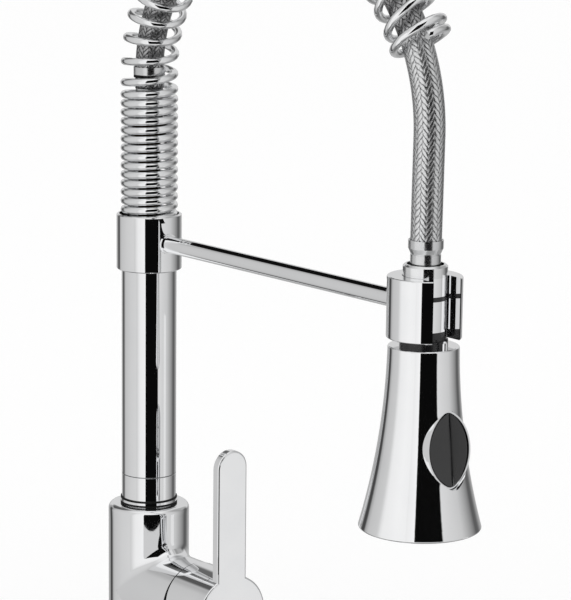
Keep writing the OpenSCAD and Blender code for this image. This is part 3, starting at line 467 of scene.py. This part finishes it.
# ---------------------------------------------------------------- spring
def make_spring():
    """Spring of round wire: close turns on the column, open ones over the arch, a closed end."""
    wire_d = 4.1 * MM
    wire_r = wire_d / 2
    coil_r = 30.8 * MM / 2 - wire_r
    wire_sides, steps_per_turn = 14, 28
    start_angle = math.radians(-171)
    start = seat_z + wire_r + 0.15 * MM
    close_turns, close_pitch = 14.13, 4.76 * MM
    opening = 6.9 * MM              # length of the one turn between the close and the open ones
    open_pitch = 12 * MM
    part_turn = 0.46                # what the open turns have over a whole number
    end_turns, end_pitch_mm = 1.17, 5.2
    open_end_z = collar_top + 111 * MM
    close_end = start - seat_z + close_turns * close_pitch
    open_end = [s for (_, z, a), s in zip(route.points[1:-1], route.lengths[1:-1])
                if a > math.pi / 2 and z > open_end_z][-1]
    open_turns = math.floor((open_end - close_end - opening) / open_pitch) + part_turn
    all_turns = close_turns + 1 + open_turns + end_turns
    knots = [(0, start - seat_z),
             (close_turns, close_end),
             (close_turns + 1, close_end + opening),
             (close_turns + 1 + open_turns, open_end),
             (all_turns, open_end + end_turns * end_pitch_mm * MM)]
    sag = 2.6 * MM                  # how far the lower end hangs out of the arch
    sag_start = close_turns + open_turns / 2
    lean = 0.24                     # how far the last turn tilts, as a share of its radius
    lean_start = all_turns - 7
    lean_to = Vector((-0.773, 0.635, 0))

    def length_at(t):
        for (t0, s0), (t1, s1) in zip(knots, knots[1:]):
            if t <= t1:
                return s0 + (s1 - s0) * (t - t0) / (t1 - t0)
        return knots[-1][1]

    def on_coil(t):
        """Centre of the wire after t turns, and its direction from the coil's axis."""
        centre, normal = route.at(length_at(t))
        a = start_angle + 2 * math.pi * t
        out = math.cos(a) * across + math.sin(a) * normal
        shift = sag * max(0.0, t - sag_start) / (all_turns - sag_start)
        tilt = lean * max(0.0, t - lean_start) / (all_turns - lean_start)
        along = out.dot(lean_to) * coil_r * tilt * across.cross(normal)
        return centre + coil_r * out + shift * normal + along, out

    steps = int(all_turns * steps_per_turn)
    line, outward = map(list, zip(*(on_coil(all_turns * i / steps) for i in range(steps + 1))))
    # Both ends run straight on by the wire's thickness, the first one level
    nudge = 0.005
    first = line[0] - on_coil(nudge)[0]
    first.z = 0
    last = line[-1] - on_coil(all_turns - nudge)[0]
    line.insert(0, line[0] + wire_d * first.normalized())
    line.append(line[-1] + wire_d * last.normalized())
    outward = outward[:1] + outward + outward[-1:]
    rings = []
    for i, (centre, out) in enumerate(zip(line, outward)):
        tangent = (line[min(i + 1, len(line) - 1)] - line[max(i - 1, 0)]).normalized()
        u = (out - out.dot(tangent) * tangent).normalized()
        rings.append(circle(centre, wire_r, u, tangent.cross(u), wire_sides))
    spring = tube("coil_spring", rings, spring_steel)
    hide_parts("spring")
    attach(spring, "riser")


make_spring()


# ---------------------------------------------------------------- plated skin of the body
BRANCH_DROP = 47 * MM               # from the body's top down to the branch's axis


def thicken(bm, depth):
    """Make an open skin solid: it moves out by depth, and a copy stays behind as its inside."""
    skin = list(bm.faces)
    open_edges = [e for e in bm.edges if e.is_boundary]
    under = {}
    for v in list(bm.verts):
        under[v] = bm.verts.new(v.co)
        v.co = v.co + depth * v.normal
    for f in skin:
        bm.faces.new([under[v] for v in reversed(f.verts)])
    for e in open_edges:
        a, b = e.verts
        if e.link_loops[0].vert is a:
            a, b = b, a
        bm.faces.new((a, b, under[b], under[a]))


def make_body_skin():
    """The chrome plating over column, fillet and branch, so that their reflections run smoothly."""
    low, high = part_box("faucet_body")
    body_r = high.x
    base_z, top_z = low.z, high.z
    rim_y = low.y
    axis_z = top_z - BRANCH_DROP
    ball = 6.5 * MM                 # radius of the ball that shapes the fillet as it rolls
    spine = body_r + ball           # distance of its centre from either axis
    edge_r = 3 * MM
    chamfer = 0.4 * MM
    mouth_r = 19.9 * MM
    socket_r = 15.4 * MM
    screw_z = top_z - 14 * MM
    screw_r = 2.6 * MM
    plate = 0.08 * MM
    half_turn_steps, back_steps, rim_steps = 72, 24, 6
    column_steps, fillet_steps, branch_steps = 12, 16, 8
    patch_half = math.radians(15)   # half the turn of the field round the screw's hole
    slack = 1e-9
    least = 1e-6
    digits = 7
    bm = bmesh.new()

    def add(points):
        """Faces over a grid of points, but for those that two points have made a line."""
        rows = [[bm.verts.new(p) for p in row] for row in points]
        for first, second in zip(rows, rows[1:]):
            for i in range(len(first) - 1):
                corners = [first[i], first[i + 1], second[i + 1], second[i]]
                if len({tuple(round(c, digits) for c in v.co) for v in corners}) == len(corners):
                    bm.faces.new(corners)

    def on_column(a, z, r=body_r):
        return Vector((r * math.sin(a), -r * math.cos(a), z))

    def on_branch(a, y, side, r=body_r):
        return Vector((r * math.sin(a), y, axis_z + side * r * math.cos(a)))

    def in_patch(a):
        return abs(a - math.pi) <= patch_half + slack

    # Front: from the column's end over the fillet to the branch's mouth, above and below its axis
    front = [math.radians(-90 + 180 * i / half_turn_steps) for i in range(half_turn_steps + 1)]
    for side, end_z in ((1, top_z - edge_r), (-1, base_z)):
        rows = []
        for a in front:
            turn_z = axis_z + side * (spine * math.cos(a))
            row = [on_column(a, end_z + (turn_z - end_z) * i / column_steps)
                   for i in range(column_steps)]
            centre = Vector((spine * math.sin(a), -spine * math.cos(a), turn_z))
            to_column = Vector((-math.sin(a), math.cos(a), 0))
            to_branch = Vector((-math.sin(a), 0, -side * math.cos(a)))
            spread = to_column.angle(to_branch)
            for i in range(fillet_steps + 1):
                f = i / fillet_steps
                aim = to_column
                if spread >= least:
                    aim = (math.sin((1 - f) * spread) * to_column
                           + math.sin(f * spread) * to_branch) / math.sin(spread)
                row.append(centre + ball * aim)
            start_y = -spine * math.cos(a)
            row += [on_branch(a, start_y + (rim_y + chamfer - start_y) * i / branch_steps, side)
                    for i in range(1, branch_steps + 1)]
            row.append(on_branch(a, rim_y, side, body_r - chamfer))
            row.append(on_branch(a, rim_y, side, mouth_r))
            rows.append(row)
        add(rows)

    # Back: plain, but for the field round the screw's hole
    back = [math.radians(90 + 180 * i / half_turn_steps) for i in range(half_turn_steps + 1)]
    levels = [base_z + (top_z - edge_r - base_z) * i / back_steps for i in range(back_steps + 1)]
    patch_low = max(z for z in levels if z < screw_z - screw_r)
    patch_high = min(z for z in levels if z > screw_z + screw_r)
    for a, next_a in zip(back, back[1:]):
        beside = not (in_patch(a) and in_patch(next_a))
        for z, next_z in zip(levels, levels[1:]):
            if beside or z < patch_low - slack or next_z > patch_high + slack:
                add([[on_column(a, z), on_column(a, next_z)],
                     [on_column(next_a, z), on_column(next_a, next_z)]])
    inside = [a for a in back if in_patch(a)]
    inner_levels = [z for z in levels if patch_low - slack <= z <= patch_high + slack]
    border = ([(a, patch_low) for a in inside] + [(inside[-1], z) for z in inner_levels[1:]]
              + [(a, patch_high) for a in reversed(inside[:-1])]
              + [(inside[0], z) for z in reversed(inner_levels[1:-1])])
    outer, hole = [], []
    for a, z in border + border[:1]:
        edge = on_column(a, z)
        turn = math.atan2(z - screw_z, edge.x)
        x = screw_r * math.cos(turn)
        y = math.sqrt(body_r ** 2 - x ** 2)
        outer.append(edge)
        hole.append(Vector((x, y, screw_z + screw_r * math.sin(turn))))
    add([outer, hole])

    # Top: rounded edge, and the land round the socket
    rim_turn = [math.radians(90 * i / rim_steps) for i in range(rim_steps + 1)]
    rows = []
    for a in front[:-1] + back:
        row = [on_column(a, top_z - edge_r + edge_r * math.sin(t),
                         body_r - edge_r + edge_r * math.cos(t)) for t in rim_turn]
        rows.append(row + [on_column(a, top_z, socket_r)])
    add(rows)

    bmesh.ops.remove_doubles(bm, verts=bm.verts, dist=least)
    bmesh.ops.recalc_face_normals(bm, faces=bm.faces)
    bm.normal_update()
    middle = Vector((0, 0, axis_z))
    if sum(f.normal.dot(f.calc_center_median() - middle) for f in bm.faces) < 0:
        bmesh.ops.reverse_faces(bm, faces=bm.faces)
        bm.normal_update()
    thicken(bm, plate)
    for f in bm.faces:
        f.smooth = True
    skin = built("body_plating", bm, chrome, sharp_deg=28)
    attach(skin, "faucet")


make_body_skin()


# ---------------------------------------------------------------- spray button
def make_button():
    """Button with two slightly hollow facets that meet in a soft ridge, on a stem."""
    half_w = 12.5 * MM
    half_h = 17.5 * MM
    tip_r = 5 * MM
    crown = 1.1 * MM                # ridge over the middle plane, and the sides' edges below it
    hollow_power = 0.66             # 1 would make the facets flat
    roll_depth, roll_share = 0.35 * MM, 0.08
    reach = 20.1 * MM               # from the spray's axis to the middle plane
    skirt = 8 * MM
    stem_r, stem_l = 2.5 * MM, 9 * MM
    least_w = 0.02 * MM
    slant = math.radians(6)
    rows, columns = 44, 40
    middle_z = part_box("spray_shell")[0].z + 42.1 * MM
    tip = half_h - tip_r
    arc_r = (tip ** 2 + half_w ** 2 - tip_r ** 2) / (2 * (half_w - tip_r))
    arc_end = arc_r * math.sin(math.atan2(tip, arc_r - half_w))

    def half_width(v):
        """Half the width of the oval at height v over its middle."""
        v = abs(v)
        if v <= arc_end:
            return half_w - arc_r + math.sqrt(arc_r ** 2 - v ** 2)
        return math.sqrt(max(0.0, tip_r ** 2 - (v - tip) ** 2))

    def depth_at(u, edge):
        """Height of the face at u across; edge runs to 1 at the rim, where the face rolls off."""
        roll = roll_depth * (1 - min(1.0, (1 - edge) / roll_share)) ** 2
        return crown - 2 * crown * min(1.0, abs(u) / half_w) ** hollow_power - roll

    def place(u, v, depth):
        """Leaning face of the button to the object's frame."""
        out = reach + depth * math.cos(slant) - v * math.sin(slant)
        up = v * math.cos(slant) + depth * math.sin(slant)
        return Vector((u, spray_axis - out, middle_z + up))

    bm = bmesh.new()
    front = []
    for i in range(rows + 1):
        v = -half_h * math.cos(math.pi * i / rows)
        w = max(half_width(v), least_w)
        line = []
        for j in range(columns + 1):
            f = -math.cos(math.pi * j / columns)
            depth = depth_at(w * f, edge=max(abs(f), abs(v) / half_h))
            line.append(bm.verts.new(place(w * f, v, depth)))
        front.append(line)
    for first, second in zip(front, front[1:]):
        for k in range(columns):
            bm.faces.new((first[k], first[k + 1], second[k + 1], second[k])).smooth = True
    border = (front[0] + [line[-1] for line in front[1:]]
              + front[-1][-2::-1] + [line[0] for line in front[-2:0:-1]])
    back_y = spray_axis - (reach - skirt)
    back = [bm.verts.new((v.co.x, back_y, v.co.z)) for v in border]
    bridge(bm, border, back, smooth=True)
    stem = []
    for v in back:
        turn = math.atan2(v.co.z - middle_z, v.co.x)
        stem.append(bm.verts.new((stem_r * math.cos(turn), back_y,
                                  middle_z + stem_r * math.sin(turn))))
    stem_end = [bm.verts.new((v.co.x, back_y + stem_l, v.co.z)) for v in stem]
    bridge(bm, back, stem)
    bridge(bm, stem, stem_end)
    bm.faces.new(stem_end)
    bmesh.ops.recalc_face_normals(bm, faces=bm.faces)
    cap = built("button_cap", bm, button_black, sharp_deg=40)
    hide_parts("trigger_button")
    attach(cap, "button")


make_button()


# ---------------------------------------------------------------- seals in the joints, and rings of painted shade in their gaps
RING_SIDES = 96
CORNER_STEPS = 4


def turned(name, profile, mat, body, centre=(0, 0, 0), along_y=False):
    """Closed ring turned from a profile of radius and height, about Z or about Y."""
    bm = bmesh.new()
    rows = []
    for i in range(RING_SIDES):
        a = 2 * math.pi * i / RING_SIDES
        row = []
        for r, h in profile:
            x, y = r * math.cos(a), r * math.sin(a)
            place = Vector((x, h, y)) if along_y else Vector((x, y, h))
            row.append(bm.verts.new(place + Vector(centre)))
        rows.append(row)
    for first, second in zip(rows, rows[1:] + rows[:1]):
        bridge(bm, first, second, smooth=True)
    bmesh.ops.recalc_face_normals(bm, faces=bm.faces)
    ring = built(name, bm, mat, sharp_deg=50)
    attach(ring, body)


def bead(inner, outer, low, high, round_r=0.12 * MM):
    """Profile of a ring with rounded corners."""
    corners = ((outer - round_r, low + round_r, -90), (outer - round_r, high - round_r, 0),
               (inner + round_r, high - round_r, 90), (inner + round_r, low + round_r, 180))
    return [(x + round_r * math.cos(math.radians(start + 90 * k / CORNER_STEPS)),
             y + round_r * math.sin(math.radians(start + 90 * k / CORNER_STEPS)))
            for x, y, start in corners for k in range(CORNER_STEPS + 1)]


def make_seals_and_shade_rings():
    """Black lips in the swivel joint and the ferrule, black rings of painted shade in the gap over
    the body and in the branch's mouth, and the line that the riser's tube draws on its sleeve."""
    body_low, body_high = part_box("faucet_body")
    ring_low, ring_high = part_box("swivel_ring")
    sleeve_low, sleeve_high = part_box("riser_sleeve")
    tube_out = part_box("riser_tube")[1].x
    ferrule_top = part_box("riser_ferrule")[1].z
    tube_bore = 14.2 * MM
    groove_out = 15.5 * MM
    riser_lips = (
        # name, bore, outer radius, bottom, top, material, slot
        ("sleeve_lip", tube_bore, ring_high.x - 0.02 * MM,
         ring_high.z - 0.1 * MM, sleeve_low.z + 0.38 * MM, seal_and_shade, "black_rubber"),
        ("groove_lip", tube_bore, groove_out,
         ring_low.z + 0.86 * MM, ring_low.z + 1.78 * MM, seal_and_shade, "black_rubber"),
        # Painted shade: a black ring in the gap between the swivel ring and the body's top.
        ("socket_shade_ring", 15.0 * MM, groove_out,
         body_high.z - 0.3 * MM, body_high.z + 0.15 * MM, seal_and_shade, "black_rubber"),
        ("tube_lip", tube_bore, tube_out + 0.02 * MM,
         sleeve_high.z - 0.14 * MM, sleeve_high.z + 0.2 * MM, dark_steel, "chrome"),
        ("ferrule_lip", 7.0 * MM, 8.34 * MM,
         ferrule_top - 5.6 * MM, ferrule_top - 4.0 * MM, seal_and_shade, "black_rubber"),
    )
    for name, inner, outer, low, high, mat, slot in riser_lips:
        turned(name, bead(inner, outer, low, high), mat, "riser")
    # Painted shade: a black ring in the branch's mouth, in the gap under the handle.
    turned("mouth_shade_ring", bead(19.95 * MM, 22.14 * MM, -0.58 * MM, 0.35 * MM, round_r=0.06 * MM),
           seal_and_shade, "faucet",
           centre=(0, body_low.y, body_high.z - BRANCH_DROP), along_y=True)


make_seals_and_shade_rings()


# ---------------------------------------------------------------- floor, world and light
FLOOR_HALF = 6.0

# Brightness of the studio's walls by direction in degrees, 0 towards +X and 90 towards +Y
ROUND_THE_OBJECT = [
    (-180, 0.66), (-172, 0.7), (-163, 0.84), (-141, 0.95), (-118, 0.98), (-94, 0.92),
    (-88, 0.72), (-60, 0.64), (-46, 0.59), (-30, 0.42), (-14, 0.25), (-4, 0.11),
    (6, 0.12), (18, 0.3), (32, 0.45), (54, 0.5), (78, 0.42), (88, 0.32),
    (94, 0.06), (103, 0.06), (109, 0.4), (118, 0.55), (150, 0.63), (180, 0.67),
]

# Fields laid over the walls one after another: the edges of their turn and of their rise in
# degrees, their strength and their brightness. Two edges are a step up; four are a step up and a
# step down again.
FIELDS = [
    ((2, 20, 76, 82), (-3, 6), 1, 0.66),                            # behind the object
    ((82, 90, 106, 114), (6, 24), 1, 0.45),                         # high on the left
    ((-24, -10, 10, 20), (6, 24), 1, 0.4),                          # high on the right
    ((-24, -10, 16, 30), (-17, -27), 1, 0.4),                       # low on the right
    (None, (48, 75), 1, 0.84),                                      # ceiling
    (None, (-35, -68), 1, 0.2),                                     # floor
    ((52, 60, 101, 107), (19, 27, 46, 62), 0.8, 0.003),             # black beam, high behind
    ((-142.2, -140.8, -90, -86.6), (-34, -27, 38, 46), 1, 0.003),   # black flag, in front
]


def make_floor():
    mat, _, bsdf = new_material("pale_floor")
    bsdf.inputs["Base Color"].default_value = (1, 1, 1, 1)
    bsdf.inputs["Roughness"].default_value = 0.9
    bsdf.inputs["Specular IOR Level"].default_value = 0.1
    corners = [(x * FLOOR_HALF, y * FLOOR_HALF, 0) for x, y in ((-1, -1), (1, -1), (1, 1), (-1, 1))]
    floor = flat("floor", corners, mat)
    floor.visible_glossy = False


def make_card(name, corner, along, up, stops):
    """Flat reflector that only polished surfaces see; its brightness runs along its width."""
    mat = bpy.data.materials.new(name)
    mat.use_nodes = True
    tree = mat.node_tree
    tree.nodes.clear()
    where = tree.nodes.new("ShaderNodeUVMap")
    where.uv_map = "card"
    split = tree.nodes.new("ShaderNodeSeparateXYZ")
    glow = tree.nodes.new("ShaderNodeEmission")
    out = tree.nodes.new("ShaderNodeOutputMaterial")
    tree.links.new(where.outputs["UV"], split.inputs[0])
    tree.links.new(grey_ramp(tree, split.outputs["X"], stops), glow.inputs["Color"])
    tree.links.new(glow.outputs[0], out.inputs["Surface"])
    corner, along, up = Vector(corner), Vector(along), Vector(up)
    card = flat(name, [corner, corner + along, corner + along + up, corner + up], mat)
    layer = card.data.uv_layers.new(name="card")
    for loop, uv in zip(layer.data, ((0, 0), (1, 0), (1, 1), (0, 1))):
        loop.uv = uv
    card.visible_camera = False
    card.visible_diffuse = False
    card.visible_transmission = False
    card.visible_volume_scatter = False
    card.visible_shadow = False


def make_upright_card(name, foot, azimuth_deg, width, height, value):
    """Upright card of one brightness, from the middle of its foot, its width along the azimuth."""
    azimuth = math.radians(azimuth_deg)
    side = Vector((math.cos(azimuth), math.sin(azimuth), 0))
    make_card(name, foot - width / 2 * side, width * side, (0, 0, height),
              stops=((0, value), (1, value)))


def make_cards():
    """Pale cards beside the spray, far on the left, before the body and before the lever, and a
    black strip over the arm."""
    make_card("spray_card", corner=(-0.3, 0, -0.1), along=(0, -0.245, 0), up=(0, 0, 0.62),
              stops=((0, 0.62), (0.12, 0.68), (0.22, 0.78), (0.37, 0.86), (1, 0.92)))
    make_card("far_card", corner=(-1.0, -0.27, -0.5), along=(0, -0.34, 0), up=(0, 0, 1.1),
              stops=((0, 0.92), (1, 0.9)))
    body_card_deg, body_card_far, body_card_foot = -119, 0.2, -0.07
    toward = math.radians(body_card_deg)
    foot = body_card_far * Vector((math.cos(toward), math.sin(toward), 0))
    foot.z = body_card_foot
    make_upright_card("body_card", foot, azimuth_deg=body_card_deg + 90,
                      width=0.16, height=0.1368, value=0.62)
    make_upright_card("lever_card", Vector((0.262, -0.404, -0.09)), azimuth_deg=39.4,
                      width=0.09, height=0.23, value=0.78)
    arm_z = collar_top - 14.55 * MM
    make_card("arm_flag", corner=(-0.0046, -0.19, arm_z + 0.0085), along=(0.0092, 0, 0),
              up=(0, 0.156, 0), stops=((0, 0.004), (1, 0.004)))


def make_world():
    """White light on everything, and for polished surfaces a studio of grey walls with a black
    flag in front of the object and a black beam behind it."""
    world = bpy.data.worlds.new("studio")
    scene.world = world
    world.use_nodes = True
    tree = world.node_tree
    tree.nodes.clear()
    links = tree.links
    calc = calculator(tree)

    def step(value, start, end):
        node = tree.nodes.new("ShaderNodeMapRange")
        node.interpolation_type = "SMOOTHSTEP"
        node.inputs["From Min"].default_value = start
        node.inputs["From Max"].default_value = end
        links.new(value, node.inputs["Value"])
        return node.outputs["Result"]

    def share(value, edges):
        """Share of a field at the value, from its two or four edges."""
        rising = step(value, *edges[:2])
        return calc("SUBTRACT", rising, step(value, *edges[2:])) if edges[2:] else rising

    where = tree.nodes.new("ShaderNodeTexCoord")
    split = tree.nodes.new("ShaderNodeSeparateXYZ")
    links.new(where.outputs["Generated"], split.inputs[0])
    degrees = 180 / math.pi
    turn = calc("MULTIPLY", calc("ARCTAN2", split.outputs["Y"], split.outputs["X"]), degrees)
    rise = calc("MULTIPLY", calc("ARCSINE", split.outputs["Z"]), degrees)
    round_share = ranged(tree, turn, 0, 1, from_low=-180, from_high=180)
    wall = grey_ramp(tree, round_share, [((a + 180) / 360, value) for a, value in ROUND_THE_OBJECT])
    for turn_edges, rise_edges, strength, value in FIELDS:
        factor = share(rise, rise_edges)
        if turn_edges:
            factor = calc("MULTIPLY", share(turn, turn_edges), factor)
        if strength < 1:
            factor = calc("MULTIPLY", factor, strength)
        wall = mixed(tree, "FLOAT", factor, wall, value)
    shiny = tree.nodes.new("ShaderNodeBackground")
    links.new(wall, shiny.inputs["Color"])
    plain = tree.nodes.new("ShaderNodeBackground")
    plain.inputs["Color"].default_value = (1, 1, 1, 1)
    path = tree.nodes.new("ShaderNodeLightPath")
    mix = tree.nodes.new("ShaderNodeMixShader")
    out = tree.nodes.new("ShaderNodeOutputWorld")
    links.new(path.outputs["Is Glossy Ray"], mix.inputs["Fac"])
    links.new(plain.outputs[0], mix.inputs[1])
    links.new(shiny.outputs[0], mix.inputs[2])
    links.new(mix.outputs[0], out.inputs["Surface"])


make_floor()
make_world()
make_cards()

scene.view_settings.view_transform = "Standard"
